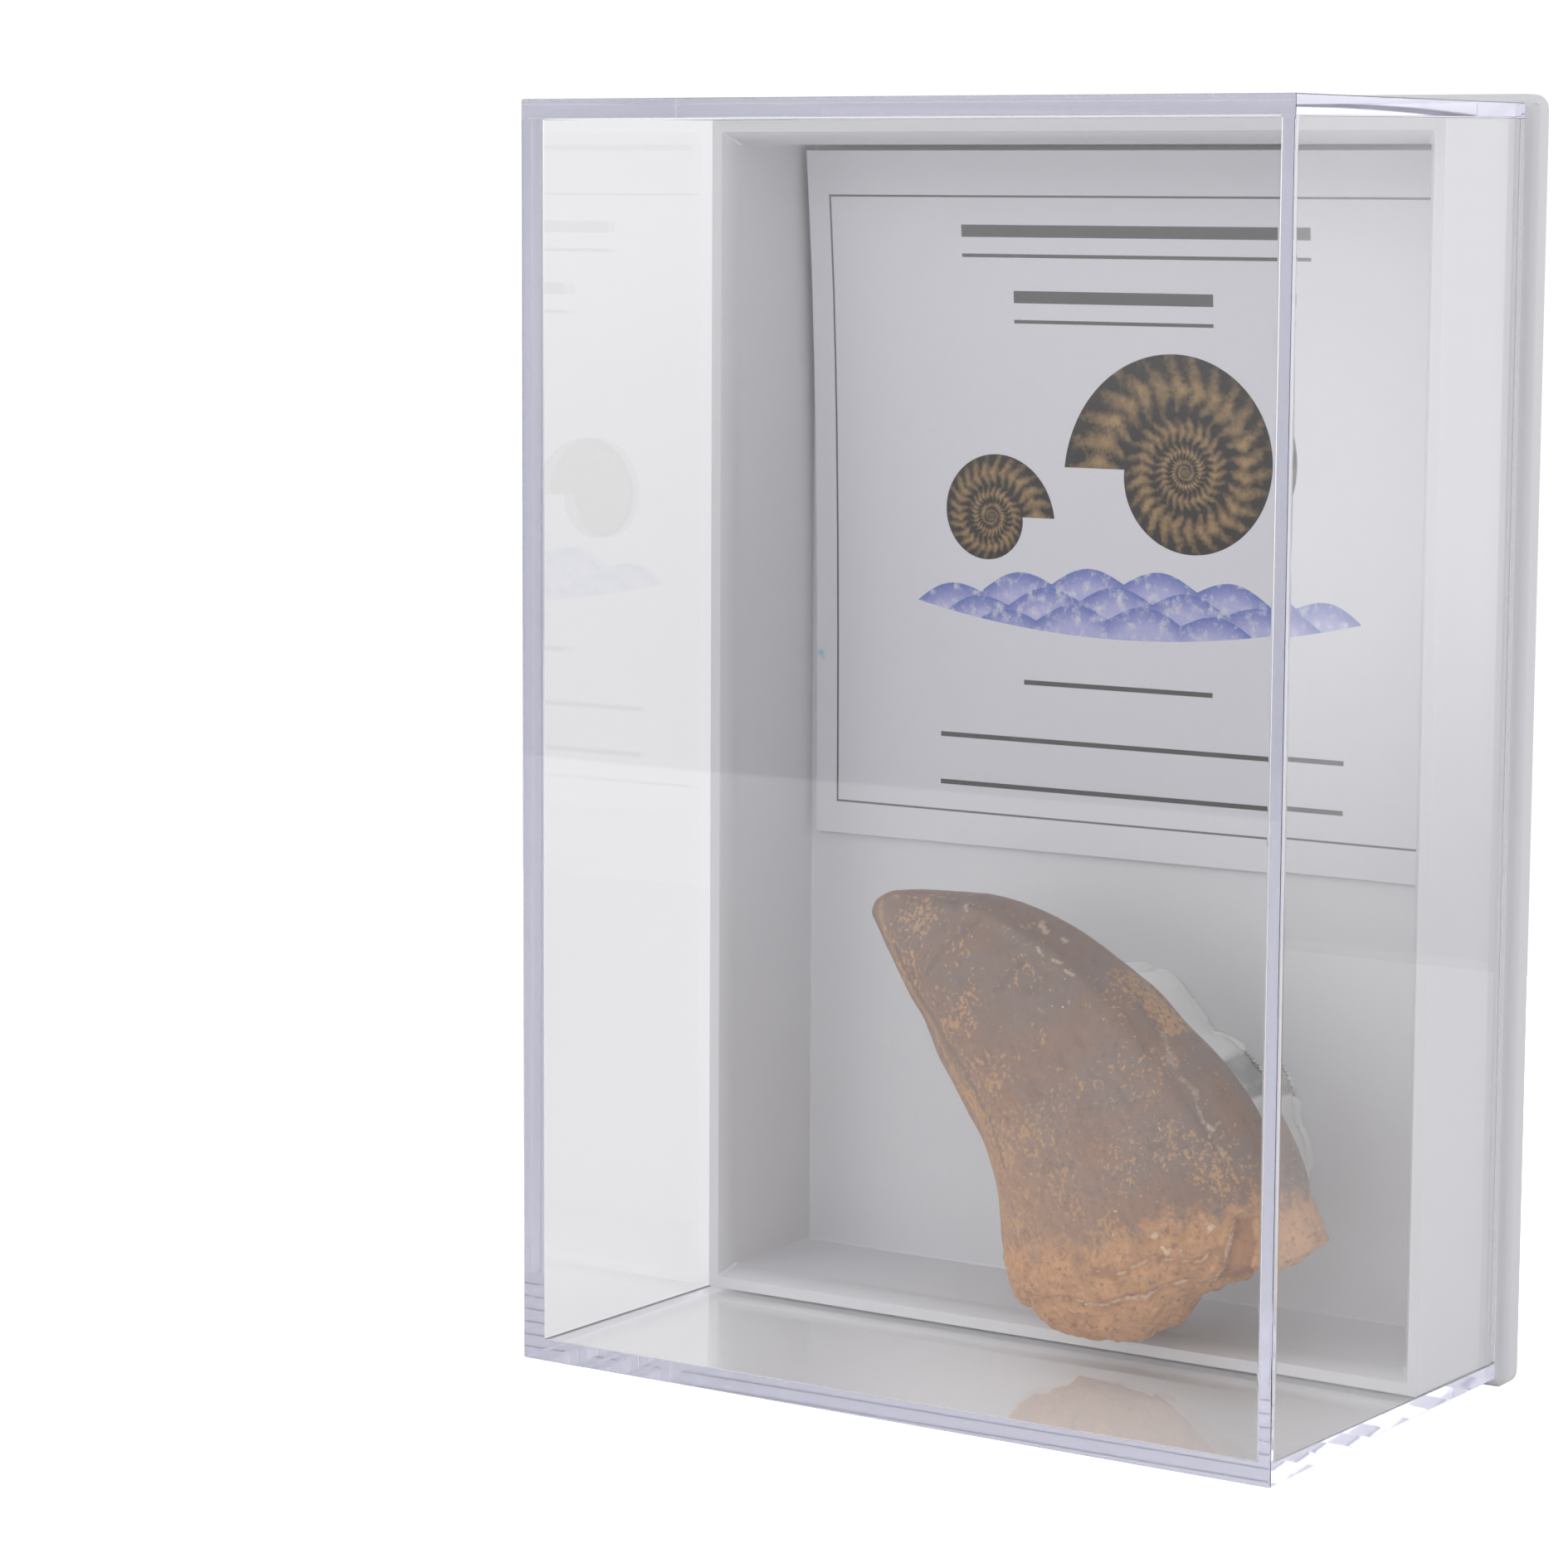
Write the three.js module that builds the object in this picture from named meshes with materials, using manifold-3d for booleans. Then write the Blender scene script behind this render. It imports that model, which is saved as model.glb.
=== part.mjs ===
// A fossil mosasaur tooth in a small clear display box.
// Millimetres, +Z up. The box stands on its short side, with the clear front facing -Y and the white
// base at the back (+Y). The origin is on the surface it stands on, under the middle of the box.
import * as THREE from "three";
import { mergeVertices } from "three/addons/utils/BufferGeometryUtils.js";
import Module from "manifold-3d";

// Clear cover: a five-sided box, open at the back
const COVER_WIDTH = 50.5;
const COVER_HEIGHT = 75;
const COVER_DEPTH = 28.5;
const COVER_WALL = 1.1;
const COVER_CORNER_RADIUS = 0.5;
const COVER_EDGE_RADIUS = 0.3;

// White base: a back plate that stands proud of the cover, and a wall that fits inside it
const PLATE_THICKNESS = 1.5;
const PLATE_PROUD_SIDES = 0.8;
const PLATE_PROUD_ENDS = 0.5;
const PLATE_CORNER_RADIUS = 0.9;
const PLATE_EDGE_RADIUS = 0.4;
const TRAY_CLEARANCE = 0.1;
const TRAY_WALL = 1.4;
const TRAY_HEIGHT = 9.7;
const TRAY_FLOOR_RAISE = 0.2;
const TRAY_CORNER_RADIUS = 0.6;
const RIM_EDGE_RADIUS = 0.25;
const RIM_CHAMFER_WIDTH = 0.7;
const RIM_CHAMFER_DEPTH = 1;
const FLOOR_FILLET = 0.4;

// Label card, bowed forwards at its top edge
const CARD_WIDTH = 44.6;
const CARD_HEIGHT = 43.1;
const CARD_THICKNESS = 0.3;
const CARD_END_GAP = 0.1;
const CARD_BOW = 1.6;
const CARD_FLOOR_GAP = 0.1;
const CARD_CURVE_POINTS = 20;

// Tooth: its middle plane lies this far behind the middle of the box. Angles run round its axis in
// degrees, from the right (+X) over the back (+Y). Stretches run along it from the gum line (0) to
// the tip (1).
const TOOTH_PLANE_Y = 2.5;
const TIP_POINT = 0.5;
const SECTION_ROUNDNESS = 2.15;
const ROOT_ROUNDNESS = 3;
const LEFT_CARINA = { angle: 186, spread: 8, height: 0.25 };
const RIGHT_CARINA = { angle: 322, spread: 8, height: 0.35 };
const CARINA_START = 0.05;
const CARINA_FULL = 0.2;
const CARINA_END = 0.9;
const ENAMEL_STEP = 0.22;
const ENAMEL_STEP_HALF = 0.012;
const ENAMEL_END_LEFT = 0.05;
const ENAMEL_END_RIGHT = 0.1;
const ENAMEL_END_WAVE = 0.008;
const ENAMEL_END_WAVES = 5;
const CHIP = { angle: 310, spread: 11, middle: -0.08, length: 0.16, depth: 0.5 };
const ROOT_LUMPS = { height: 0.15, around: 6, along: 9, skew: 2 };
const UNDERSIDE_SLOPE = 0.45;
const TOOTH_SEGMENTS = 60;
const CROWN_RINGS = 36;
const ROOT_RINGS = 10;

// Putty between the tooth and the base: its lumps are centred this far in front of the floor
const PUTTY_CENTRE = 1;
const PUTTY_GAP = 0.3;
const PUTTY_SEGMENTS = 27;

// Places that follow from the sizes above
const DEPTH = COVER_DEPTH + PLATE_THICKNESS;
const FRONT_Y = -DEPTH / 2;
const PLATE_FRONT_Y = FRONT_Y + COVER_DEPTH;
const BACK_Y = DEPTH / 2;
const FLOOR_Y = PLATE_FRONT_Y - TRAY_FLOOR_RAISE;
const RIM_Y = PLATE_FRONT_Y - TRAY_HEIGHT;
const BOX_HEIGHT = COVER_HEIGHT + 2 * PLATE_PROUD_ENDS;
const MIDDLE_Z = BOX_HEIGHT / 2;
const TRAY_WIDTH = COVER_WIDTH - 2 * (COVER_WALL + TRAY_CLEARANCE);
const TRAY_LENGTH = COVER_HEIGHT - 2 * (COVER_WALL + TRAY_CLEARANCE);
const CARD_TOP_Z = MIDDLE_Z + TRAY_LENGTH / 2 - TRAY_WALL - CARD_END_GAP;

const wasm = await Module();
wasm.setup();

function toSolid(geometry) {
  const bare = geometry.clone();
  bare.deleteAttribute("normal");
  bare.deleteAttribute("uv");
  const merged = mergeVertices(bare, 1e-4);
  return new wasm.Manifold(
    new wasm.Mesh({
      numProp: 3,
      vertProperties: merged.attributes.position.array,
      triVerts: new Uint32Array(merged.index.array),
    }),
  );
}

function toGeometry(solid) {
  const mesh = solid.getMesh();
  const geometry = new THREE.BufferGeometry();
  geometry.setAttribute("position", new THREE.BufferAttribute(mesh.vertProperties, 3));
  geometry.setIndex(new THREE.BufferAttribute(mesh.triVerts, 1));
  return geometry;
}

function roundedRectangle(width, height, radius) {
  const x = width / 2;
  const y = height / 2;
  const shape = new THREE.Shape();
  shape.moveTo(-x + radius, -y);
  shape.lineTo(x - radius, -y);
  shape.absarc(x - radius, -y + radius, radius, -Math.PI / 2, 0);
  shape.lineTo(x, y - radius);
  shape.absarc(x - radius, y - radius, radius, 0, Math.PI / 2);
  shape.lineTo(-x + radius, y);
  shape.absarc(-x + radius, y - radius, radius, Math.PI / 2, Math.PI);
  shape.lineTo(-x, -y + radius);
  shape.absarc(-x + radius, -y + radius, radius, Math.PI, 1.5 * Math.PI);
  return shape;
}

// A rounded slab that stands in the XZ plane between two depths. Its front and back edges are cut
// by an edge of the given depth and width, in one flat step (a chamfer) or several (a round).
function slab({ width, height, corner, fromY, toY, edgeDepth = 0, edgeWidth = edgeDepth, steps = 3 }) {
  const geometry = new THREE.ExtrudeGeometry(roundedRectangle(width, height, corner), {
    depth: toY - fromY - 2 * edgeDepth,
    curveSegments: 5,
    bevelEnabled: edgeDepth > 0,
    bevelThickness: edgeDepth,
    bevelSize: edgeWidth,
    bevelOffset: -edgeWidth,
    bevelSegments: steps,
  });
  geometry.rotateX(Math.PI / 2);
  geometry.translate(0, toY - edgeDepth, MIDDLE_Z);
  return toSolid(geometry);
}

function makeCover() {
  const behind = 5;
  const outside = slab({
    width: COVER_WIDTH,
    height: COVER_HEIGHT,
    corner: COVER_CORNER_RADIUS,
    fromY: FRONT_Y,
    toY: PLATE_FRONT_Y + behind,
    edgeDepth: COVER_EDGE_RADIUS,
  });
  const inside = slab({
    width: COVER_WIDTH - 2 * COVER_WALL,
    height: COVER_HEIGHT - 2 * COVER_WALL,
    corner: COVER_CORNER_RADIUS,
    fromY: FRONT_Y + COVER_WALL,
    toY: PLATE_FRONT_Y + 2 * behind,
  });
  const trim = slab({
    width: 2 * COVER_WIDTH,
    height: 2 * COVER_HEIGHT,
    corner: COVER_CORNER_RADIUS,
    fromY: PLATE_FRONT_Y,
    toY: PLATE_FRONT_Y + 2 * behind,
  });
  return toGeometry(outside.subtract(inside).subtract(trim));
}

function makeBase() {
  const plate = slab({
    width: COVER_WIDTH + 2 * PLATE_PROUD_SIDES,
    height: BOX_HEIGHT,
    corner: PLATE_CORNER_RADIUS,
    fromY: PLATE_FRONT_Y,
    toY: BACK_Y,
    edgeDepth: PLATE_EDGE_RADIUS,
  });
  const wall = slab({
    width: TRAY_WIDTH,
    height: TRAY_LENGTH,
    corner: TRAY_CORNER_RADIUS,
    fromY: RIM_Y,
    toY: PLATE_FRONT_Y + PLATE_THICKNESS / 2,
    edgeDepth: RIM_EDGE_RADIUS,
  });
  const inFront = 10;
  const hollow = slab({
    width: TRAY_WIDTH - 2 * TRAY_WALL,
    height: TRAY_LENGTH - 2 * TRAY_WALL,
    corner: TRAY_CORNER_RADIUS,
    fromY: RIM_Y - inFront,
    toY: FLOOR_Y,
    edgeDepth: FLOOR_FILLET,
  });
  const chamfer = slab({
    width: TRAY_WIDTH - 2 * TRAY_WALL + 2 * RIM_CHAMFER_WIDTH,
    height: TRAY_LENGTH - 2 * TRAY_WALL + 2 * RIM_CHAMFER_WIDTH,
    corner: TRAY_CORNER_RADIUS + RIM_CHAMFER_WIDTH,
    fromY: RIM_Y - inFront,
    toY: RIM_Y + RIM_CHAMFER_DEPTH,
    edgeDepth: RIM_CHAMFER_DEPTH,
    edgeWidth: RIM_CHAMFER_WIDTH,
    steps: 1,
  });
  return toGeometry(plate.add(wall).subtract(hollow).subtract(chamfer));
}

// How the card leaves the floor: the share of its bow at shares of its height
const CARD_PROFILE = [
  [0, 0],
  [0.3, 0.05],
  [0.6, 0.24],
  [0.8, 0.52],
  [1, 1],
];

function makeCard() {
  const bottomZ = CARD_TOP_Z - CARD_HEIGHT;
  const backY = FLOOR_Y - CARD_FLOOR_GAP;
  const line = (offset) =>
    new THREE.SplineCurve(
      CARD_PROFILE.map(
        ([up, bow]) => new THREE.Vector2(backY - offset - bow * CARD_BOW, bottomZ + up * CARD_HEIGHT),
      ),
    ).getPoints(CARD_CURVE_POINTS);
  const outline = [...line(CARD_THICKNESS), ...line(0).reverse()];
  const geometry = new THREE.ExtrudeGeometry(new THREE.Shape(outline), {
    depth: CARD_WIDTH,
    bevelEnabled: false,
  });
  geometry.translate(0, 0, -CARD_WIDTH / 2);
  const alongX = new THREE.Vector3(1, 0, 0);
  const alongY = new THREE.Vector3(0, 1, 0);
  const alongZ = new THREE.Vector3(0, 0, 1);
  geometry.applyMatrix4(new THREE.Matrix4().makeBasis(alongY, alongZ, alongX));
  return geometry;
}

// Cross-sections of the tooth, from the gum line to the tip: the middle in X and Z, half the width
// from edge to edge, half the thickness from front to back, and the tilt of the width in degrees.
const TOOTH_SECTIONS = [
  { x: 8.7, z: 8.3, width: 9.8, thickness: 5.8, tilt: 11 },
  { x: 7.8, z: 12.4, width: 9.2, thickness: 5.7, tilt: 14 },
  { x: 5.4, z: 16.5, width: 8.2, thickness: 5.2, tilt: 21 },
  { x: 2.3, z: 19.6, width: 7.2, thickness: 4.7, tilt: 28 },
  { x: -0.8, z: 22.2, width: 6.1, thickness: 4, tilt: 36 },
  { x: -3.6, z: 24.1, width: 4.9, thickness: 3.3, tilt: 44 },
  { x: -6.4, z: 25.5, width: 3.6, thickness: 2.5, tilt: 50 },
  { x: -9, z: 26.6, width: 2, thickness: 1.6, tilt: 56 },
  { x: -10.7, z: 27.4, width: 1, thickness: 0.9, tilt: 52 },
];

// How far the broken root reaches below the gum line, across the width from left (-1) to right (1)
const ROOT_REACH = [
  [-1, 0.5],
  [-0.9, 2.9],
  [-0.7, 3.9],
  [-0.6, 4.6],
  [-0.1, 5],
  [0.03, 4.7],
  [0.15, 3.6],
  [0.3, 2.9],
  [0.55, 2.3],
  [0.7, 1.3],
  [1, 0.1],
];

const sectionMiddles = new THREE.CatmullRomCurve3(
  TOOTH_SECTIONS.map((s) => new THREE.Vector3(s.x, TOOTH_PLANE_Y, s.z)),
);
const sectionSizes = new THREE.CatmullRomCurve3(
  TOOTH_SECTIONS.map((s) => new THREE.Vector3(s.width, s.thickness, s.tilt)),
);

const smooth = THREE.MathUtils.smoothstep;
const bell = (distance, width) => Math.exp(-((distance / width) ** 2));

function angleBetween(a, b) {
  const turn = Math.abs(a - b) % 360;
  return Math.min(turn, 360 - turn);
}

function rootReach(across) {
  const last = ROOT_REACH.length - 1;
  const right = ROOT_REACH.findIndex(([place]) => place >= across);
  const i = right < 0 ? last : Math.max(right, 1);
  const [x0, y0] = ROOT_REACH[i - 1];
  const [x1, y1] = ROOT_REACH[i];
  return THREE.MathUtils.lerp(y0, y1, smooth(across, x0, x1));
}

// The height of a point of the surface over the section: two sharp edges (carinae) along the crown,
// the enamel ending in a step above the root, lower on the left than on the right, and in the root
// a broken-out chip and shallow lumps.
function toothRelief(along, degrees) {
  const around = THREE.MathUtils.degToRad(degrees);
  const near = ({ angle, spread }) => bell(angleBetween(degrees, angle), spread);
  const onCrown = smooth(along, CARINA_START, CARINA_FULL);
  const beforeTip = 1 - smooth(along, CARINA_END, 1);
  const carinae = LEFT_CARINA.height * near(LEFT_CARINA) + RIGHT_CARINA.height * near(RIGHT_CARINA);

  const rightward = (Math.cos(around) + 1) / 2;
  const wave = ENAMEL_END_WAVE * Math.sin(ENAMEL_END_WAVES * around);
  const enamelEnd = THREE.MathUtils.lerp(ENAMEL_END_LEFT, ENAMEL_END_RIGHT, rightward) + wave;
  const enamel = smooth(along, enamelEnd - ENAMEL_STEP_HALF, enamelEnd + ENAMEL_STEP_HALF);

  const chip = near(CHIP) * bell(along - CHIP.middle, CHIP.length);
  const lumps =
    Math.sin(ROOT_LUMPS.around * around) *
    Math.sin(ROOT_LUMPS.along * along + ROOT_LUMPS.skew * around);
  return (
    (carinae * onCrown + ENAMEL_STEP * enamel) * beforeTip +
    ROOT_LUMPS.height * lumps * (1 - onCrown) -
    CHIP.depth * chip
  );
}

// A point of the tooth: along runs from -1 (bottom of the root) through 0 (gum line) to 1 (tip).
function toothPoint(along, degrees, grow) {
  const t = Math.max(along, 0);
  const middle = sectionMiddles.getPoint(t);
  const size = sectionSizes.getPoint(t);
  const tilt = THREE.MathUtils.degToRad(size.z);
  const angle = THREE.MathUtils.degToRad(degrees);
  const dome = (Math.PI / 2) * Math.max(-along, 0);
  const shrink = Math.cos(dome) ** (2 / ROOT_ROUNDNESS);
  const sink = Math.sin(dome) ** (2 / ROOT_ROUNDNESS);
  const power = (value) => Math.sign(value) * Math.abs(value) ** (2 / SECTION_ROUNDNESS);
  const relief = toothRelief(along, degrees) + grow;
  const across = power(Math.cos(angle)) * shrink;
  const deep = power(Math.sin(angle)) * shrink;
  const u = across * (size.x + relief);
  const v = deep * (size.y + relief);
  const rise = UNDERSIDE_SLOPE * Math.max(v, 0) * sink;
  const drop = (rootReach(across) + grow) * sink;
  return new THREE.Vector3(
    middle.x + u * Math.cos(tilt),
    middle.y + v,
    middle.z + u * Math.sin(tilt) - drop + rise,
  );
}

function makeTooth(grow = 0) {
  const rows = [];
  for (let i = 1; i < ROOT_RINGS; i++) rows.push(i / ROOT_RINGS - 1);
  for (let i = 0; i <= CROWN_RINGS; i++) rows.push(i / CROWN_RINGS);
  const points = [toothPoint(-1, 0, grow)];
  for (const along of rows) {
    for (let j = 0; j < TOOTH_SEGMENTS; j++) {
      points.push(toothPoint(along, (360 * j) / TOOTH_SEGMENTS, grow));
    }
  }
  const tipMiddle = sectionMiddles.getPoint(1);
  const tipDirection = sectionMiddles.getTangent(1);
  points.push(tipMiddle.addScaledVector(tipDirection, TIP_POINT + grow));

  const corner = (row, j) => 1 + row * TOOTH_SEGMENTS + (j % TOOTH_SEGMENTS);
  const last = points.length - 1;
  const faces = [];
  for (let j = 0; j < TOOTH_SEGMENTS; j++) {
    faces.push(0, corner(0, j + 1), corner(0, j));
    for (let row = 0; row < rows.length - 1; row++) {
      faces.push(corner(row, j), corner(row, j + 1), corner(row + 1, j + 1));
      faces.push(corner(row, j), corner(row + 1, j + 1), corner(row + 1, j));
    }
    faces.push(last, corner(rows.length - 1, j), corner(rows.length - 1, j + 1));
  }
  const geometry = new THREE.BufferGeometry().setFromPoints(points);
  geometry.setIndex(faces);
  return geometry;
}

// Rolled lumps of putty, each an ellipsoid pressed on to the floor of the base
const PUTTY_LUMPS = [
  { x: 3, z: 19.2, length: 4.9, width: 3.4, depth: 4.8, turn: -38 },
  { x: 7, z: 15.8, length: 4.6, width: 3.9, depth: 5, turn: -45 },
  { x: 9, z: 12.6, length: 3.2, width: 3.2, depth: 4.6, turn: -70 },
  { x: 8.8, z: 16.8, length: 3.4, width: 1.4, depth: 3, turn: -48 },
];

function makePutty() {
  const lumps = PUTTY_LUMPS.map((lump) => {
    const ball = new THREE.SphereGeometry(1, PUTTY_SEGMENTS, (2 * PUTTY_SEGMENTS) / 3);
    ball.scale(lump.length, lump.depth, lump.width);
    ball.rotateY(-THREE.MathUtils.degToRad(lump.turn));
    ball.translate(lump.x, FLOOR_Y - PUTTY_CENTRE, lump.z);
    return toSolid(ball);
  });
  const behindFloor = slab({
    width: COVER_WIDTH,
    height: COVER_HEIGHT,
    corner: COVER_CORNER_RADIUS,
    fromY: FLOOR_Y,
    toY: FLOOR_Y + 2 * TRAY_HEIGHT,
  });
  const mass = lumps.reduce((joined, lump) => joined.add(lump));
  return toGeometry(mass.subtract(behindFloor).subtract(toSolid(makeTooth(PUTTY_GAP))));
}

const clearPolystyrene = new THREE.MeshStandardMaterial({
  color: 0xe8e8f4,
  roughness: 0.05,
  metalness: 0,
  transparent: true,
  opacity: 0.3,
});
const whitePolystyrene = new THREE.MeshStandardMaterial({ color: 0xdfe0e3, roughness: 0.4, metalness: 0 });
const printedCard = new THREE.MeshStandardMaterial({ color: 0xd2d2d8, roughness: 0.8, metalness: 0 });
const whitePutty = new THREE.MeshStandardMaterial({ color: 0xc9cdcc, roughness: 0.6, metalness: 0 });
const fossilEnamel = new THREE.MeshStandardMaterial({ color: 0x8f7668, roughness: 0.45, metalness: 0 });

function piece(name, geometry, material) {
  const mesh = new THREE.Mesh(geometry, material);
  mesh.name = name;
  return mesh;
}

const displayBox = new THREE.Group();
displayBox.add(piece("clear_cover", makeCover(), clearPolystyrene));
displayBox.add(piece("base_tray", makeBase(), whitePolystyrene));
displayBox.add(piece("label_card", makeCard(), printedCard));
displayBox.add(piece("putty", makePutty(), whitePutty));
displayBox.add(piece("tooth", makeTooth(), fossilEnamel));

export default displayBox;
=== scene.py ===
"""A fossil mosasaur tooth in a small clear display box, dressed for its picture.

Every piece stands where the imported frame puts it, in metres. Sizes below are in millimetres.
"""
import math

import bmesh
import bpy
from bpy.props import FloatProperty, FloatVectorProperty, PointerProperty
from mathutils import Euler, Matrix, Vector, noise


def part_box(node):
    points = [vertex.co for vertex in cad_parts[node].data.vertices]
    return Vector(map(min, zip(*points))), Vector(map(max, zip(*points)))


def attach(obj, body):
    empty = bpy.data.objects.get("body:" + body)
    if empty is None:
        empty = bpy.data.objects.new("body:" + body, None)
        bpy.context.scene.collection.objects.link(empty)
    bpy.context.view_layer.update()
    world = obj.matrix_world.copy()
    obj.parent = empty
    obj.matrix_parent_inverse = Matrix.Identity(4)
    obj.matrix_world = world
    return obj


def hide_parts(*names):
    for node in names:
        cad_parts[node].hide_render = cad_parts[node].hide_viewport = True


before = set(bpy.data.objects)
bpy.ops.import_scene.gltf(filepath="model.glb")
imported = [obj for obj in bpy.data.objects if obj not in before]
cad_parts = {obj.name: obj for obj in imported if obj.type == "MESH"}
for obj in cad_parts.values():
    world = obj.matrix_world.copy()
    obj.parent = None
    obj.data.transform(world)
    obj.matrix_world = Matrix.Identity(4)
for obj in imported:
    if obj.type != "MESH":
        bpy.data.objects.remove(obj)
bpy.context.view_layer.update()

bl_info = {
    "name": "Fossil tooth display box",
    "version": (1, 0, 0),
    "blender": (4, 5, 0),
    "location": "View3D > Sidebar > Fossil",
    "description": "A fossil tooth held by putty in a clear display box, with its soft studio light",
    "category": "Add Mesh",
}

MM = 0.001
BODY = "root"
X, Y, Z = range(3)

# Points closer than DOUBLES are merged, an edge within PLANE_SLACK of a plane lies in it, and one within
# RIM_SLACK of the plate's rim belongs to the plate
DOUBLES = 0.002 * MM
PLANE_SLACK = 0.02 * MM
RIM_SLACK = 0.1 * MM

# The least share of an axis that a face or edge follows to count as straight along it, or as leaning
STRAIGHT = 0.9
LEANING = 0.3

POLYSTYRENE_IOR = 1.59

# Radius and segments of the rounded edges
COVER_RIM_EDGE = (0.05 * MM, 2)
PLATE_CORNER = (0.9 * MM, 5)
TRAY_CORNER = (0.6 * MM, 4)
PLATE_EDGE = (0.4 * MM, 3)
FLOOR_EDGE = (0.4 * MM, 3)
LIP_EDGE = (0.15 * MM, 2)
CARD_EDGE = (0.05 * MM, 1)

# The table's middle and size in metres, and the tint of the room's light
TABLE_MIDDLE = (0, -0.055, 0)
TABLE_SIZE = (0.9, 0.41, 1)
ROOM_TINT = (0.985, 0.985, 1, 1)

# Enough bounces for light that runs along inside the clear walls
CLEAR_BOUNCES = 40
DIFFUSE_BOUNCES = 8

# The camera, fitted to the corners of the clear cover
CAMERA_PLACE = Vector((139.15, -234.87, 70.32))
CAMERA_AZIMUTH = 33.544
CAMERA_ELEVATION = 7.262
CAMERA_ROLL = 0.283
CAMERA_LENS = 107.03
SENSOR_WIDTH = 36

# The label's bow: the share of it at shares of the card's height
CARD_PROFILE = (
    (0, 0), (0.15, 0.015), (0.3, 0.05), (0.45, 0.12), (0.6, 0.24), (0.7, 0.36), (0.8, 0.52), (0.9, 0.74), (1, 1),
)

# The label's frame: its middle's height, half its width and height, and its line's thickness
LABEL_MIDDLE_Z = 50.9
LABEL_FRAME = (20.7, 19.1)
LABEL_FRAME_LINE = 0.13
# Its ruled lines: the middle in x and z, half the length and the thickness of each
LABEL_RULES = (
    (0, 67.9, 11.2, 0.75),
    (0, 66.4, 11.2, 0.22),
    (-0.7, 63.9, 6.9, 0.75),
    (-0.7, 62.4, 6.9, 0.22),
    (-0.4, 40.2, 6.6, 0.3),
    (0.3, 36.6, 13.3, 0.3),
    (0.3, 33.6, 13.3, 0.3),
)
# Its coiled shells: the middle, the radius at the right and the way each is turned; and their ribs in a turn
LABEL_SHELLS = (((4.2, 53.6), 5.9, 1), ((-9.4, 50.4), 3.2, -1))
SHELL_RIBS = 26
# Its waves: the foot of each row's crests, their height, radians per millimetre and shift from row to row
WAVE_CRESTS = (46.6, 45.5, 44.4)
WAVE_HEIGHT = 0.9
WAVE_PITCH = 0.62
WAVE_SHIFT = 1.9
# How the rows sink and their floor rises with the square of the way from the middle, and the floor's height
WAVE_SINK = -0.009
WAVE_FLOOR_RISE = 0.008
WAVE_FLOOR = 43.2
# The small smudge on its left edge
SMUDGE_PLACE = (-21.95, 0, 41.1)

# A point of the tip's worn facet, and the way it faces
WORN_TIP = Vector((-10.65, 0, 27.75))
WORN_TIP_FACES = (-0.7, 0, 0.7)

# The underside of the root from the left to the right, in x and z, and how far its edge hangs lower, in x
# and millimetres
UNDERSIDE = (
    (0, 6.0), (1.8, 4.0), (3, 3.4), (6.7, 3.1), (9, 3.4), (10, 4.5), (10.8, 5.4), (12.4, 6.5), (14, 7.0),
    (15, 7.7), (16.6, 9.1), (18, 9.8),
)
HANGS = (
    (0.9, 0), (1.9, -0.45), (2.7, -0.4), (3.6, 0), (8.0, 0.05), (9.2, 0.45), (10.0, 0.65), (10.7, 0.75),
    (11.6, 0), (14.0, 0), (15.5, 0.5), (16.6, 0.75), (18, 0.4),
)

# Lines and patches on the front of the tooth, as points in x and z
GUM_LINE = (
    (-3, 7.4), (0, 7.8), (3.5, 8.3), (6.6, 9.0), (8.9, 9.7), (11.3, 11.0), (13.3, 11.6), (15.6, 12.3),
    (17.5, 12.8), (20, 13.4),
)
CRACKS = (
    (
        (2.2, 5.4), (4.2, 5.8), (5.3, 6.0), (6.5, 6.1), (7.1, 5.9), (8.2, 6.0), (9.4, 6.5), (10.5, 6.9),
        (11.7, 7.4), (13.2, 7.9), (14.7, 8.2),
    ),
    ((7.8, 8.0), (9.5, 8.1), (11.1, 9.1), (11.6, 9.3), (12.7, 9.3), (14.1, 9.2), (14.5, 9.8), (14.9, 9.9)),
    ((15.8, 11.7), (15.5, 10.9), (15.3, 10.0), (15.2, 9.2), (14.7, 8.2)),
)
CHIP = (
    (15.7, 11.6), (16.2, 11.9), (16.7, 11.9), (16.8, 10.3), (16.6, 8.9), (16.0, 8.4), (14.8, 8.2), (15.3, 10.0),
    (15.5, 10.9),
)
SANDY_PATCH = (
    (5.9, 25.1), (7.1, 24.2), (8.2, 23.4), (9.4, 22.4), (10.2, 21.8), (10.8, 22.0), (9.6, 23.1), (8.2, 24.2),
    (6.8, 25.0),
)
DARK_LINES = (
    (
        (-8.3, 25.0), (-7.1, 23.1), (-6.2, 22.2), (-5.1, 21.3), (-4.0, 20.1), (-2.4, 18.5), (-1.3, 17.1),
        (-0.4, 15.9), (0.2, 14.4), (0.7, 13.1),
    ),
    ((7.2, 24.2), (8.0, 23.5), (9.0, 22.7), (9.9, 21.9)),
    ((-5.6, 23.9), (-4.3, 25.7), (-3.2, 26.6), (-2.3, 27.4)),
    ((-0.3, 23.5), (0.4, 24.1), (0.8, 24.9), (1.0, 25.2)),
    ((-8.4, 28.0), (-6.9, 27.9), (-5.6, 28.0), (-4.2, 28.0)),
)
FRONT_EDGE = (
    (-10.2, 27.8), (-9.9, 26.9), (-8.6, 24.6), (-7.3, 22.6), (-5.7, 21.0), (-4.3, 19.3), (-2.9, 17.6),
    (-1.7, 15.9), (-0.9, 14.0), (-0.5, 12.0), (-0.4, 10.5),
)
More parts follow.
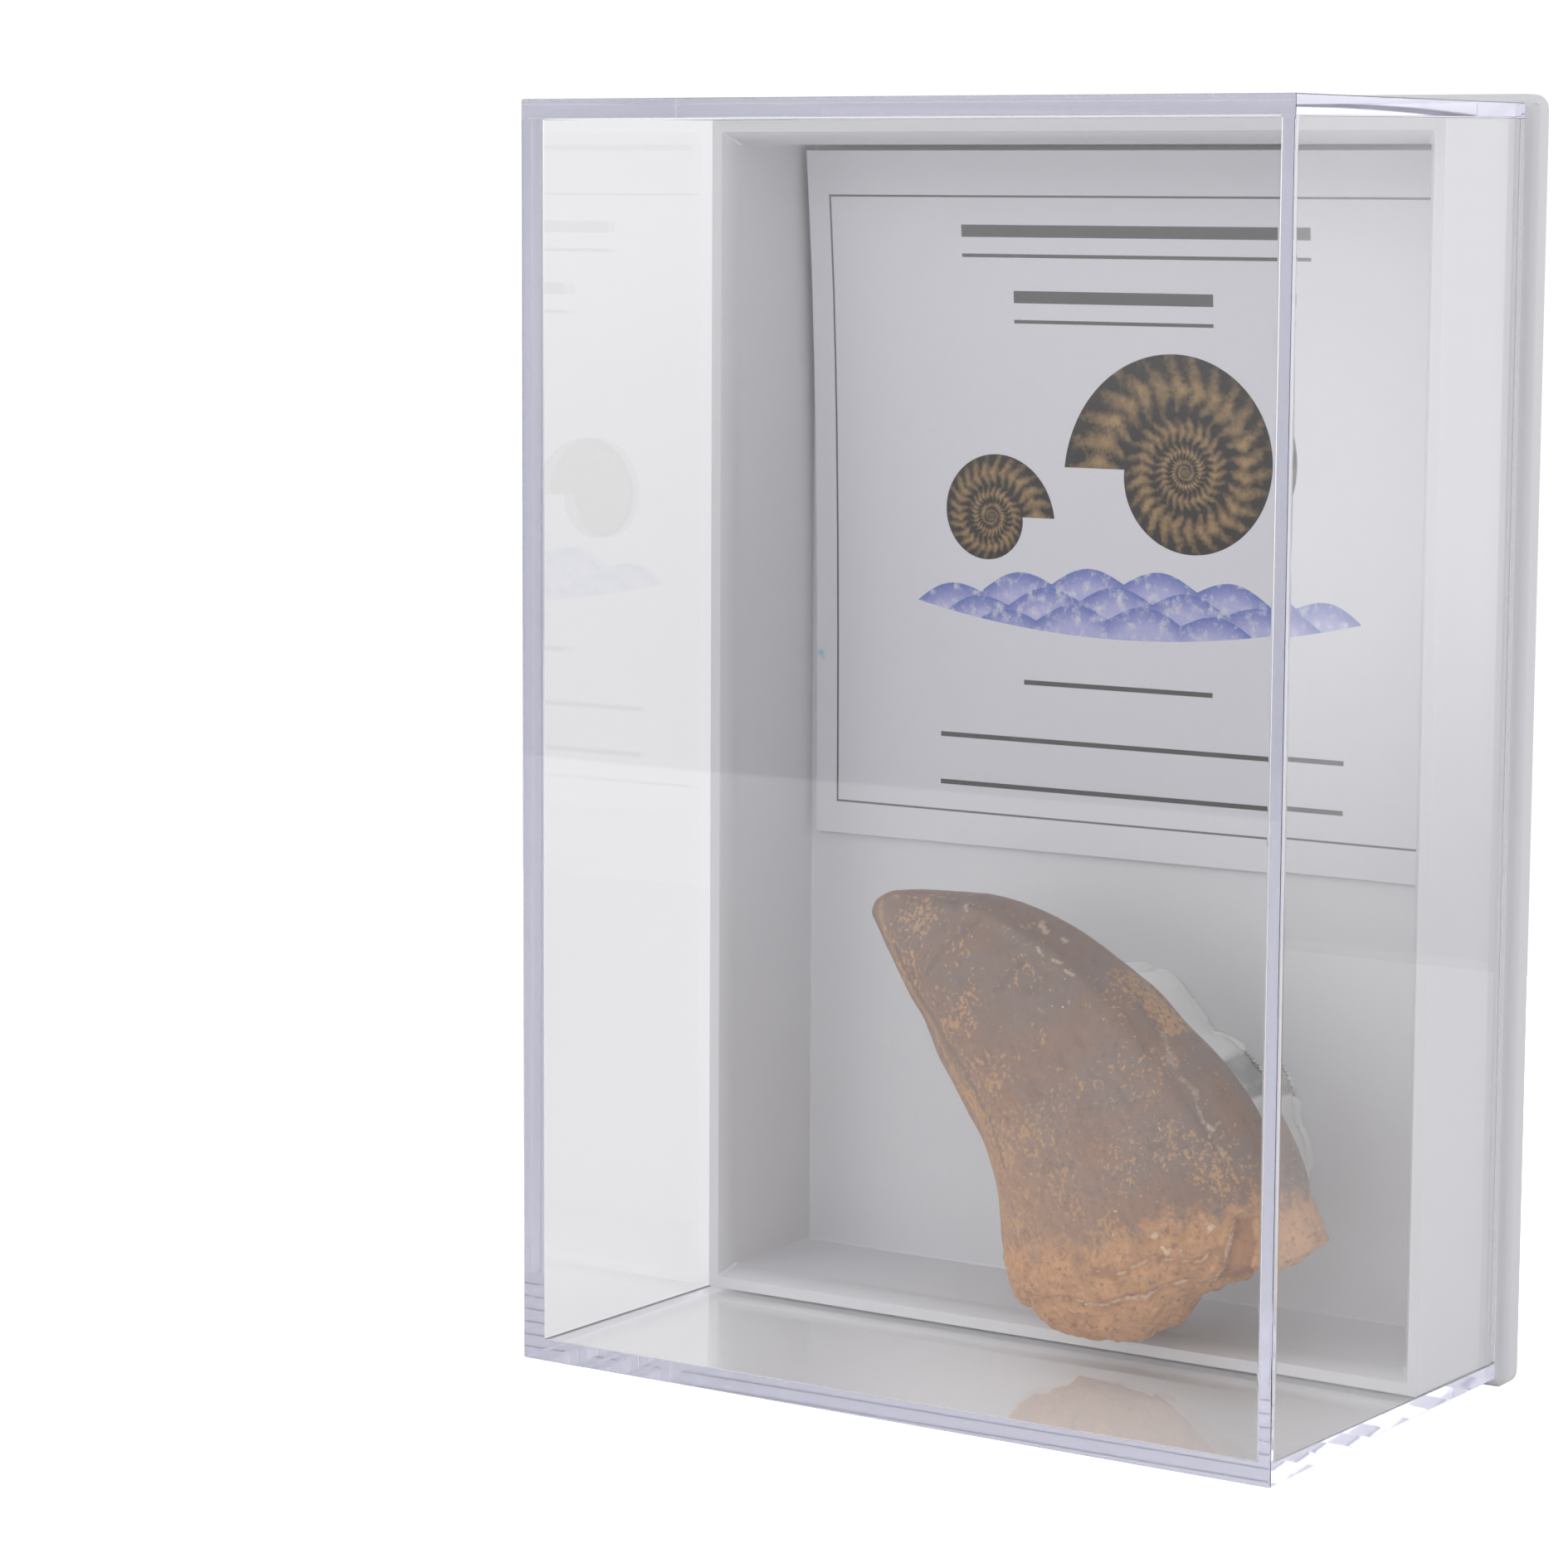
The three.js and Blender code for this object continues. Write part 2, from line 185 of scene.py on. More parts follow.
RIDGE = (
    (9.3, 22.2), (10.2, 21.6), (10.9, 20.7), (11.9, 19.6), (12.7, 18.9), (13.2, 18.0), (13.8, 17.2),
    (14.7, 15.9), (15.3, 15.1), (15.7, 14.3),
)
SCRATCHES = (
    ((-3.6, 28.0), (-3.3, 27.7)), ((1.0, 27.2), (1.8, 26.7)), ((2.6, 26.5), (3.0, 26.3)),
    ((1.8, 26.1), (2.2, 25.8)), ((3.0, 25.5), (3.6, 25.3)), ((3.9, 25.0), (4.5, 24.7)),
    ((4.5, 23.4), (4.6, 23.2)), ((13.4, 17.4), (13.8, 17.2), (14.2, 16.9), (14.3, 17.4)),
    ((14.2, 16.9), (14.1, 16.4)), ((12.1, 9.9), (12.4, 9.7)), ((11.4, 10.6), (11.6, 10.6)),
    ((14.3, 11.3), (14.5, 11.2)),
)

# The folds between the putty's rolls, as points in x and z
PUTTY_FOLDS = (
    ((2.6, 23.3), (3.3, 23.3), (4.1, 23.1)),
    ((9.1, 18.9), (10.0, 18.2), (10.7, 17.4), (10.9, 16.6), (10.6, 16.1)),
)

# How far away, in millimetres, the marks of the tooth's front are held on its back
FAR_ON_BACK = 3


def linear(hex_colour):
    """An sRGB hex colour as linear red, green and blue."""
    channels = (int(hex_colour[i : i + 2], 16) / 255 for i in (1, 3, 5))
    return tuple(c / 12.92 if c <= 0.04045 else ((c + 0.055) / 1.055) ** 2.4 for c in channels)


def node(tree, kind, *inputs, output=None, **settings):
    """Adds a node with its settings and its inputs in order, as values or links, and gives its output."""
    made = tree.nodes.new(f"ShaderNode{kind}")
    for name, value in settings.items():
        setattr(made, name, value)
    for socket, value in zip([socket for socket in made.inputs if socket.enabled], inputs):
        if isinstance(value, bpy.types.NodeSocket):
            tree.links.new(value, socket)
        elif value is not None:
            socket.default_value = value
    if output:
        return made.outputs[output]
    return next(socket for socket in made.outputs if socket.enabled)


def new_material(name):
    """A material, its node tree, its Principled shader and its coordinates in millimetres."""
    material = bpy.data.materials.new(name)
    material.use_nodes = True
    tree = material.node_tree
    place = node(tree, "VectorMath", node(tree, "TexCoord", output="Object"), 1 / MM, operation="SCALE")
    return material, tree, tree.nodes["Principled BSDF"], place


def set_sockets(tree, shader, values):
    """Sets a shader's sockets by their names, as values or links."""
    for name, value in values.items():
        if isinstance(value, bpy.types.NodeSocket):
            tree.links.new(value, shader.inputs[name])
        else:
            shader.inputs[name].default_value = value


def dim(colour, share):
    """A colour at a share of its brightness."""
    return (*(share * c for c in colour[:3]), 1)


def colour_property(name, hex_colour, description):
    """A colour that the panel shows, from its sRGB hex value."""
    return FloatVectorProperty(
        name=name, description=description, subtype="COLOR", size=4, min=0, max=1, default=(*linear(hex_colour), 1)
    )


def amount_property(name, amount, description, **settings):
    """A number from 0 up that the panel shows."""
    return FloatProperty(name=name, description=description, min=0, default=amount, **settings)


def length_property(name, millimetres, description):
    """A length that the panel shows, given here in millimetres."""
    return amount_property(name, millimetres * MM, description, subtype="DISTANCE", unit="LENGTH", precision=5)


class DisplayBoxSizes(bpy.types.PropertyGroup):
    cover_wall: length_property("Cover wall", 1.1, "Thickness of the clear cover's walls")
    cover_rim: length_property("Cover rim", 0.8, "Thickness of its walls at the open back, thinner for the draft")
    cover_edge: length_property("Cover edge", 0.12, "Radius of the cover's outer edges")
    cover_inner_edge: length_property("Cover inner edge", 0.15, "Radius of the cover's inner edges")
    cover_gap: length_property("Cover gap", 0.05, "From the cover's rim to the base's plate")
    plate_thickness: length_property("Plate", 1.5, "Thickness of the base's back plate")
    tray_side_gap: length_property("Tray side gap", 1.66, "From the plate's side to the foot of the tray's wall")
    tray_end_gap: length_property("Tray end gap", 1.36, "From the plate's end to the foot of the tray's wall")
    tray_draft: length_property("Tray draft", 0.11, "How far the tray's wall leans in towards its rim")
    tray_lip: length_property("Tray lip", 0.7, "Width of the flat top of the tray's wall")
    tray_wall: length_property("Tray wall", 1.4, "Thickness of the tray's wall")
    tray_chamfer: length_property("Tray chamfer", 1.0, "Depth of the chamfer inside the rim")
    floor_raise: length_property("Floor raise", 0.2, "How far the tray's floor stands before the plate's front")
    card_bow: length_property("Card bow", 1.6, "How far the card's top edge stands off the floor")
    card_thickness: length_property("Card", 0.3, "Thickness of the label card")


class DisplayBoxColours(bpy.types.PropertyGroup):
    cover: colour_property("Cover tint", "#3D4AFA", "What the clear plastic lets through in great thickness")
    cover_density: amount_property("Tint density", 2.4, "Absorption of the clear plastic per metre")
    base: colour_property("Base", "#CFCFD2", "White moulded plastic")
    card: colour_property("Card", "#D2D2D7", "Paper of the label")
    ink: colour_property("Ink", "#5C5A5A", "Printed lines")
    motif_dark: colour_property("Motif dark", "#2B2522", "Dark ink of the printed shells")
    motif_tan: colour_property("Motif tan", "#A8895F", "Tan ink of the printed shells")
    motif_blue: colour_property("Motif blue", "#6070B0", "Blue ink of the printed waves")
    motif_lilac: colour_property("Motif lilac", "#A9A9D0", "Pale lilac ink of the printed waves")
    smudge: colour_property("Smudge", "#5FB4D8", "Small blue smudge at the card's edge")
    putty: colour_property("Putty", "#E1E0DD", "Adhesive putty")
    enamel_grey: colour_property("Enamel grey", "#806A5F", "Grey-brown of the crown")
    enamel_brown: colour_property("Enamel brown", "#8C6852", "Warmer brown of the crown")
    # enamel_dark also paints the shade towards the crown's right flank, and darkens the crown towards its tip
    enamel_warm: colour_property("Enamel warm", "#A87B58", "Tan that warms the crown towards the root")
    enamel_dark: colour_property("Enamel dark", "#57443B", "Dark lines and stains on the crown")
    ochre: colour_property("Ochre", "#C3935A", "Flecks and sandy grains")
    root: colour_property("Root", "#C59266", "Orange-tan of the root")
    # root_dark also paints the shade beside the root's cracks
    root_dark: colour_property("Root dark", "#7F5238", "Darker pits and flakes of the root")
    # cream also paints the highlights along the root's cracks and along the crown's ridge
    cream: colour_property("Cream", "#DDC9AC", "Crack lines and fresh edges")


class StudioSettings(bpy.types.PropertyGroup):
    below: amount_property("Below the table's edge", 0.3, "Brightness under the horizon in front")
    left_front: amount_property("Left front", 1.6, "Brightness of the soft light at the left in front")
    left_back: amount_property("Left back", 0.88, "Brightness of the room at the left behind")
    right_front: amount_property("Right front", 0.95, "Brightness of the room at the right in front")
    right_back: amount_property("Right back", 1.3, "Brightness of the soft light at the right behind")
    overhead: amount_property("Overhead", 0.85, "Brightness of the room overhead")
    table_tone: amount_property("Table tone", 0.9, "Share of the light that the table sends back", max=1)
    backdrop: amount_property("Backdrop", 1.05, "Brightness of the table and the room as seen by the camera")


def add_block(name, low, high):
    """Adds a box between two corners, its object at the origin."""
    bpy.ops.object.select_all(action="DESELECT")
    bpy.ops.mesh.primitive_cube_add(size=1, location=(low + high) / 2, scale=high - low)
    bpy.ops.object.transform_apply(location=True, rotation=True, scale=True)
    return name_piece(name)


def name_piece(name):
    """Names the active object and its mesh."""
    piece = bpy.context.view_layer.objects.active
    piece.name = name
    piece.data.name = name
    return piece


def choose(piece):
    """Makes a piece the only selected object and the active one."""
    bpy.ops.object.select_all(action="DESELECT")
    piece.select_set(True)
    bpy.context.view_layer.objects.active = piece


def edit_all():
    """Goes into edit mode with the whole active piece selected."""
    bpy.ops.object.mode_set(mode="EDIT")
    bpy.ops.mesh.select_all(action="SELECT")


def pick(piece, kind, wanted):
    """Goes into edit mode with only the wanted faces, edges or vertices of the piece selected."""
    if bpy.context.mode != "EDIT_MESH":
        bpy.ops.object.mode_set(mode="EDIT")
    bpy.ops.mesh.select_mode(type=kind)
    bpy.ops.mesh.select_all(action="DESELECT")
    shape = bmesh.from_edit_mesh(piece.data)
    parts = {"FACE": shape.faces, "EDGE": shape.edges, "VERT": shape.verts}[kind]
    found = [part for part in parts if wanted(part)]
    if not found:
        raise RuntimeError(f"{piece.name}: nothing to select")
    for part in found:
        part.select_set(True)
    bmesh.update_edit_mesh(piece.data)


def pull(x=0.0, y=0.0, z=0.0):
    """Extrudes the selected faces by a step."""
    bpy.ops.mesh.extrude_region_move(TRANSFORM_OT_translate={"value": (x, y, z)})


def shrink(width, height, new_width, new_height, middle):
    """Scales the selected face in x and z from one width and height to another."""
    bpy.ops.transform.resize(value=(new_width / width, 1, new_height / height), center_override=middle)


def bevel(piece, wanted, radius, segments=3):
    """Rounds the wanted edges."""
    pick(piece, "EDGE", wanted)
    bpy.ops.mesh.bevel(offset=radius, offset_type="OFFSET", segments=segments, profile=0.5, clamp_overlap=True)


def along(edge, axis):
    """How far an edge runs along an axis, from 0 to 1."""
    run = edge.verts[1].co - edge.verts[0].co
    return abs(run.normalized()[axis]) if run.length > 1e-9 else 0


def lies_at(edge, axis, value):
    """Whether an edge lies in the plane at a value of an axis."""
    return all(abs(v.co[axis] - value) < PLANE_SLACK for v in edge.verts)


def finish_shape(piece, angle=35, flat_faces=False):
    """Merges doubles, leaves edit mode, shades the piece smooth up to an angle and rests it on the root body."""
    if bpy.context.mode == "EDIT_MESH":
        bpy.ops.mesh.select_all(action="SELECT")
        bpy.ops.mesh.remove_doubles(threshold=DOUBLES)
        bpy.ops.object.mode_set(mode="OBJECT")
    choose(piece)
    bpy.ops.object.shade_smooth_by_angle(angle=math.radians(angle))
    if flat_faces:
        modify(piece, "WEIGHTED_NORMAL", "flat faces", mode="FACE_AREA", weight=100, keep_sharp=True)
    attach(piece, BODY)


def dress(piece, material, slot, *replaced):
    """Gives a piece its material and says which CAD solids it stands in for."""
    piece.data.materials.clear()
    piece.data.materials.append(material)
    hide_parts(*replaced)


def copy_of(node_name, name):
    """A copy of a CAD solid with its loose triangles merged."""
    choose(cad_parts[node_name])
    bpy.ops.object.duplicate()
    piece = name_piece(name)
    for key in [k for k in piece.keys() if k.startswith("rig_")]:
        del piece[key]
    piece.parent = None
    edit_all()
    bpy.ops.mesh.remove_doubles(threshold=DOUBLES)
    bpy.ops.object.mode_set(mode="OBJECT")
    return piece


def modify(piece, kind, name, **settings):
    """Adds a modifier with its settings and applies it."""
    bpy.context.view_layer.objects.active = piece
    bpy.ops.object.modifier_add(type=kind)
    modifier = piece.modifiers[-1]
    modifier.name = name
    for key, value in settings.items():
        setattr(modifier, key, value)
    bpy.ops.object.modifier_apply(modifier=name)


def raise_surface(piece, name, height, where="", mid_level=0, **settings):
    """Raises a marked part of the surface by a height in millimetres, or sinks it where that is negative."""
    modify(
        piece, "DISPLACE", name, strength=height * MM, mid_level=mid_level, vertex_group=where,
        texture_coords="LOCAL", **settings,
    )


def mark(piece, name, rule):
    """Marks where a modifier works, by a share from 0 to 1 at each vertex."""
    group = piece.vertex_groups.new(name=name)
    for vertex in piece.data.vertices:
        share = min(max(rule(vertex.co / MM, vertex.normal), 0), 1)
        if share > 0:
            group.add((vertex.index,), share, "REPLACE")


def measure(piece, name, rule):
    """Stores a distance in millimetres at each vertex, for the material to draw fine lines by."""
    distances = [rule(vertex.co / MM, vertex.normal) for vertex in piece.data.vertices]
    attribute = piece.data.attributes.new(name, "FLOAT", "POINT")
    attribute.data.foreach_set("value", distances)


def texture(name, kind, size, **settings):
    """A procedural texture for displacement, its noise of a size in millimetres."""
    made = bpy.data.textures.new(name, kind)
    made.noise_scale = size * MM
    for key, value in settings.items():
        setattr(made, key, value)
    return made


def smooth_step(value, low, high):
    """A share that eases from 0 to 1 as a value goes from low to high."""
    share = min(max((value - low) / (high - low), 0), 1)
    return share * share * (3 - 2 * share)


def height_on(line, x):
    """The height of a line of points at x."""
    for (x0, z0), (x1, z1) in zip(line, line[1:]):
        if x <= x1:
            break
    share = min(max((x - x0) / (x1 - x0), 0), 1)
    return z0 + share * (z1 - z0)


def distance_to(line, x, z):
    """The distance from a point to a line of points."""
    best = math.inf
    for (x0, z0), (x1, z1) in zip(line, line[1:]):
        run = (x1 - x0) ** 2 + (z1 - z0) ** 2
        share = min(max(((x - x0) * (x1 - x0) + (z - z0) * (z1 - z0)) / run, 0), 1)
        best = min(best, math.hypot(x - x0 - share * (x1 - x0), z - z0 - share * (z1 - z0)))
    return best


def clear_polystyrene(colours):
    """Clear polystyrene, injection moulded in a polished tool: hard bright reflections, a lavender
    tint where one looks along a wall, faint waves in the surface and small dull scuffs."""
    material, tree, shader, place = new_material("Moulded clear polystyrene")
    waves = node(tree, "TexNoise", place, 1 / 9, 1.0)
    bump = node(tree, "Bump", 0.02, 0.1 * MM, None, waves)
    scuffs = node(tree, "TexNoise", place, 1 / 0.35, 2.0)
    dull = node(tree, "MapRange", scuffs, 0.74, 0.8, 0.015, 0.12)
    clear = {"Base Color": (1, 1, 1, 1), "IOR": POLYSTYRENE_IOR, "Transmission Weight": 1}
    set_sockets(tree, shader, {**clear, "Roughness": dull, "Normal": bump})
    tint = node(tree, "VolumeAbsorption", colours.cover, colours.cover_density)
    tree.links.new(tint, tree.nodes["Material Output"].inputs["Volume"])
    return material


def white_polystyrene(colours):
    """White pigmented polystyrene, injection moulded: a satin gloss with slight orange peel."""
    material, tree, shader, place = new_material("Moulded white polystyrene")
    peel = node(tree, "TexNoise", place, 1 / 1.5, 2.0)
    cloud = node(tree, "TexNoise", place, 1 / 14, 2.0)
    tone = node(tree, "Mix", cloud, dim(colours.base, 0.97), colours.base, data_type="RGBA")
    gloss = node(tree, "MapRange", cloud, 0.0, 1.0, 0.3, 0.42)
    bump = node(tree, "Bump", 0.15, 0.05 * MM, None, peel)
    set_sockets(tree, shader, {"Base Color": tone, "Roughness": gloss, "Normal": bump, "IOR": POLYSTYRENE_IOR})
    return material


def printed_bar(tree, x, z, middle_x, middle_z, half_length, half_height):
    """Where a printed bar covers the card."""
    across = node(tree, "Math", x, middle_x, half_length, operation="COMPARE")
    up = node(tree, "Math", z, middle_z, half_height, operation="COMPARE")
    return node(tree, "Math", across, up, operation="MULTIPLY")


def printed_shell(tree, x, z, middle, radius, way):
    """A coiled shell whose radius doubles in each turn: where it is printed, and how pale it is, from
    its seams and ribs to the middle of each whorl."""
    across = node(tree, "Math", node(tree, "Math", x, middle[0], operation="SUBTRACT"), way, operation="MULTIPLY")
    up = node(tree, "Math", z, middle[1], operation="SUBTRACT")
    reach = node(tree, "VectorMath", node(tree, "CombineXYZ", across, up), operation="LENGTH", output="Value")
    turn = node(tree, "Math", node(tree, "Math", up, across, operation="ARCTAN2"), 2 * math.pi, operation="DIVIDE")
    doublings = node(tree, "Math", reach, radius, operation="DIVIDE")
    doublings = node(tree, "Math", doublings, 2.0, operation="LOGARITHM")
    whorl = node(tree, "Math", doublings, turn, operation="SUBTRACT")
    height = node(tree, "Math", whorl, 0.5, operation="PINGPONG")
    slant = node(tree, "Math", height, 7.0, operation="MULTIPLY")
    swing = node(tree, "Math", turn, 2 * math.pi * SHELL_RIBS, slant, operation="MULTIPLY_ADD")
    ribs = node(tree, "Math", swing, operation="SINE")
    rounded = node(tree, "Math", height, 1.5, -0.05, operation="MULTIPLY_ADD")
    pale = node(tree, "Math", ribs, 0.26, rounded, operation="MULTIPLY_ADD")
    return node(tree, "Math", whorl, 0.0, operation="LESS_THAN"), pale


def printed_card(colours):
    """Smooth uncoated paper with laser print: matt, fine fibres, grey-black ruled lines, and coiled
    shells over blue waves in a grainy halftone."""
    material, tree, shader, place = new_material("Printed label paper")
    x = node(tree, "SeparateXYZ", place, output="X")
    z = node(tree, "SeparateXYZ", place, output="Z")
    half_width, half_height = LABEL_FRAME
    line = LABEL_FRAME_LINE / 2
    outer = printed_bar(tree, x, z, 0.0, LABEL_MIDDLE_Z, half_width + line, half_height + line)
    inner = printed_bar(tree, x, z, 0.0, LABEL_MIDDLE_Z, half_width - line, half_height - line)
    ruled = node(tree, "Math", outer, inner, operation="SUBTRACT")
    for middle_x, middle_z, half_length, thickness in LABEL_RULES:
        bar = printed_bar(tree, x, z, middle_x, middle_z, half_length, thickness / 2)
        ruled = node(tree, "Math", ruled, bar, operation="MAXIMUM")

    fibres = node(tree, "TexNoise", place, 3.0, 4.0)
    grain = node(tree, "TexNoise", place, 1 / 0.22, 2.0)
    blotches = node(tree, "TexNoise", place, 1 / 0.7, 4.0, 0.65)
    surface = node(tree, "Mix", fibres, dim(colours.card, 0.96), colours.card, data_type="RGBA")

    # The waves, from the far one to the near one, each deep blue under its crest and paler below
    bend = node(tree, "Math", x, x, operation="MULTIPLY")
    floor = node(tree, "Math", bend, WAVE_FLOOR_RISE, WAVE_FLOOR, operation="MULTIPLY_ADD")
    above_floor = node(tree, "Math", z, floor, operation="GREATER_THAN")
    for number, foot in enumerate(WAVE_CRESTS):
        swing = node(tree, "Math", x, WAVE_PITCH, WAVE_SHIFT * number, operation="MULTIPLY_ADD")
        swing = node(tree, "Math", swing, operation="SINE")
        crest = node(tree, "Math", swing, operation="ABSOLUTE")
        crest = node(tree, "Math", crest, WAVE_HEIGHT, foot, operation="MULTIPLY_ADD")
        crest = node(tree, "Math", bend, WAVE_SINK, crest, operation="MULTIPLY_ADD")
        depth = node(tree, "Math", crest, z, operation="SUBTRACT")
        ragged_depth = node(tree, "Math", grain, 0.5, depth, operation="MULTIPLY_ADD")
        paler = node(tree, "MapRange", ragged_depth, 0.2, 1.5)
        water = node(tree, "Mix", paler, colours.motif_blue, colours.motif_lilac, data_type="RGBA")
        bare_specks = node(tree, "MapRange", blotches, 0.5, 0.75)
        speckled = node(tree, "Mix", bare_specks, water, colours.card, data_type="RGBA")
        covered = node(tree, "Math", depth, 0.0, operation="GREATER_THAN")
        covered = node(tree, "Math", covered, above_floor, operation="MULTIPLY")
        surface = node(tree, "Mix", covered, surface, speckled, data_type="RGBA")

    for middle, radius, way in LABEL_SHELLS:
        shell, pale = printed_shell(tree, x, z, middle, radius, way)
        spots = node(tree, "Math", blotches, 1.6, pale, operation="MULTIPLY_ADD")
        spots = node(tree, "Math", grain, 0.6, spots, operation="MULTIPLY_ADD")
        share = node(tree, "MapRange", spots, 1.15, 2.3)
        tone = node(tree, "Mix", share, colours.motif_dark, colours.motif_tan, data_type="RGBA")
        surface = node(tree, "Mix", shell, surface, tone, data_type="RGBA")

    surface = node(tree, "Mix", ruled, surface, colours.ink, data_type="RGBA")
    on_paper = node(tree, "CombineXYZ", x, 0.0, z)
    smudge = node(tree, "VectorMath", on_paper, SMUDGE_PLACE, operation="DISTANCE", output="Value")
    smudge = node(tree, "Math", grain, 0.8, smudge, operation="MULTIPLY_ADD")
    smudge = node(tree, "MapRange", smudge, 0.75, 0.45, 0.0, 0.6)
    surface = node(tree, "Mix", smudge, surface, colours.smudge, data_type="RGBA")
    bump = node(tree, "Bump", 0.1, 0.03 * MM, None, fibres)
    set_sockets(tree, shader, {"Base Color": surface, "Roughness": 0.8, "Normal": bump, "IOR": 1.45})
    return material


def adhesive_putty(colours):
    """Pale adhesive putty rolled and pressed by hand: waxy, softly shining, with shallow dents and painted shade
    along the folds between its rolls.
    """
    material, tree, shader, place = new_material("Adhesive putty")
    dents = node(tree, "TexNoise", place, 0.9, 3.0)
    tone = node(tree, "Mix", dents, dim(colours.putty, 0.88), colours.putty, data_type="RGBA")
    # Painted shade: the putty darkens towards the folds between its rolls
    gap = node(tree, "Attribute", attribute_name="to_folds", output="Fac")
    shade = node(tree, "MapRange", gap, 0.3, 0.05, 0.0, 0.65)
    tone = node(tree, "Mix", shade, tone, dim(colours.putty, 0.25), data_type="RGBA")
    bump = node(tree, "Bump", 0.5, 0.2 * MM, None, dents)
    waxy = {"Subsurface Weight": 0.15, "Subsurface Radius": (1, 1, 1), "Subsurface Scale": 0.6 * MM}
    set_sockets(tree, shader, {"Base Color": tone, "Roughness": 0.45, "Normal": bump, "IOR": 1.5, **waxy})
    return material


def ragged(tree, place, distance, size, amount):
    """A distance stored on the tooth, its outline broken up by noise of a size and an amount in millimetres."""
    stored = node(tree, "Attribute", attribute_name=distance, output="Fac")
    shift = node(tree, "MapRange", node(tree, "TexNoise", place, 1 / size, 4.0, 0.7), 0.25, 0.75, -amount, amount)
    return node(tree, "Math", stored, shift, operation="ADD")


def lay_over(tree, surface, *layers):
    """Lays colours over a surface, each up to its most as its pattern goes from low to high."""
    for colour, pattern, low, high, most in layers:
        share = node(tree, "MapRange", pattern, low, high, 0.0, most, interpolation_type="SMOOTHSTEP")
        surface = node(tree, "Mix", share, surface, colour, data_type="RGBA")
    return surface


def enamel_colours(tree, place, fibres, grain, colours):
    """Brown enamel: broad grey and warm clouds, fibres along the tooth, ochre flecks that crowd
    towards the root, cream specks and scratches, dark hairlines and a sandy patch on the ridge, a tone that
    darkens towards the tip, painted shade towards the right flank and a painted highlight along the ridge."""
    height = node(tree, "Attribute", attribute_name="above_gum", output="Fac")
    sideways = node(tree, "SeparateXYZ", place, output="X")
    broad = node(tree, "TexNoise", place, 1 / 3.5, 5.0, 0.6)
    middling = node(tree, "TexNoise", place, 1 / 1.1, 4.0, 0.6)
    small = node(tree, "TexNoise", place, 1 / 0.3, 3.0, 0.65)
    specks = node(tree, "TexNoise", place, 1 / 0.26, 1.0)
    from_left = node(tree, "Math", sideways, 0.9, height, operation="MULTIPLY_ADD")
    near_root = node(tree, "MapRange", from_left, 18.0, 2.0, 0.0, 0.1)
    crowding = node(tree, "MapRange", node(tree, "TexNoise", place, 1 / 2.8, 2.0), 0.4, 0.7, -0.06, 0.1)
    crowding = node(tree, "Math", near_root, crowding, operation="ADD")
    flecks = node(tree, "Math", small, crowding, operation="ADD")
    sandy = ragged(tree, place, "to_sandy_patch", 0.4, 0.3)
    sand_grains = node(tree, "Math", small, node(tree, "MapRange", sandy, 0.1, -0.1, -0.3, 0.0), operation="ADD")
    # Painted highlight: a thin pale line along the ridge
    ridge = node(tree, "Math", ragged(tree, place, "to_ridge", 0.4, 0.12), middling, operation="SUBTRACT")
    return lay_over(
        tree,
        colours.enamel_grey,
        (colours.enamel_brown, broad, 0.4, 0.62, 1.0),
        (colours.enamel_warm, from_left, 15.0, 3.0, 0.75),
        # Painted shade: the crown darker towards its right flank, which turns away from the light
        (colours.enamel_dark, sideways, 7.0, 14.0, 0.25),
        (colours.enamel_dark, height, 6.0, 18.0, 0.42),
        (colours.enamel_dark, middling, 0.52, 0.72, 0.4),
        (colours.enamel_dark, fibres, 0.6, 0.35, 0.18),
        (colours.enamel_dark, grain, 0.5, 0.3, 0.5),
        (colours.ochre, flecks, 0.6, 0.68, 0.55),
        (colours.ochre, ragged(tree, place, "to_front_edge", 0.5, 0.35), 0.35, 0.0, 0.35),
        (colours.cream, specks, 0.74, 0.8, 0.6),
        (colours.enamel_dark, ragged(tree, place, "to_dark_lines", 0.6, 0.12), 0.28, 0.06, 0.5),
        (colours.ochre, sandy, 0.15, -0.15, 0.65),
        (colours.enamel_dark, sand_grains, 0.5, 0.58, 0.75),
        # painted highlight along the ridge
        (colours.cream, ridge, -0.36, -0.56, 0.24),
        (colours.cream, ragged(tree, place, "to_scratches", 0.3, 0.07), 0.12, 0.02, 0.42),
    )


def root_colours(tree, place, grain, colours):
    """Orange-tan root: ochre clouds, dark pits, a thin cream line along each crack painted as the highlight
    on its lit edge with painted shade beside it, and a red-brown chip."""
    clouds = node(tree, "TexNoise", place, 1 / 1.4, 5.0, 0.65)
    spots = node(tree, "TexNoise", place, 1 / 0.8, 3.0, 0.6)
    crack = ragged(tree, place, "to_cracks", 0.5, 0.08)
    chip = ragged(tree, place, "to_chip", 0.5, 0.15)
    thin = node(tree, "Math", crack, node(tree, "MapRange", clouds, 0.35, 0.6, 0.08, 0.0), operation="ADD")
    return lay_over(
        tree,
        dim(colours.root, 0.78),
        (colours.root, clouds, 0.38, 0.66, 1.0),
        (colours.ochre, spots, 0.54, 0.7, 0.55),
        (colours.root_dark, grain, 0.48, 0.3, 0.6),
        (colours.cream, grain, 0.6, 0.74, 0.45),
        (colours.root_dark, spots, 0.42, 0.3, 0.7),
        (colours.root_dark, chip, 0.05, -0.05, 0.6),
        # Painted shade beside each crack, and a painted highlight as the thin cream line along it
        (colours.root_dark, crack, 0.4, 0.1, 0.35),
        (colours.cream, thin, 0.15, 0.03, 0.55),
        (colours.cream, ragged(tree, place, "to_scratches", 0.4, 0.2), 0.25, 0.08, 0.65),
    )


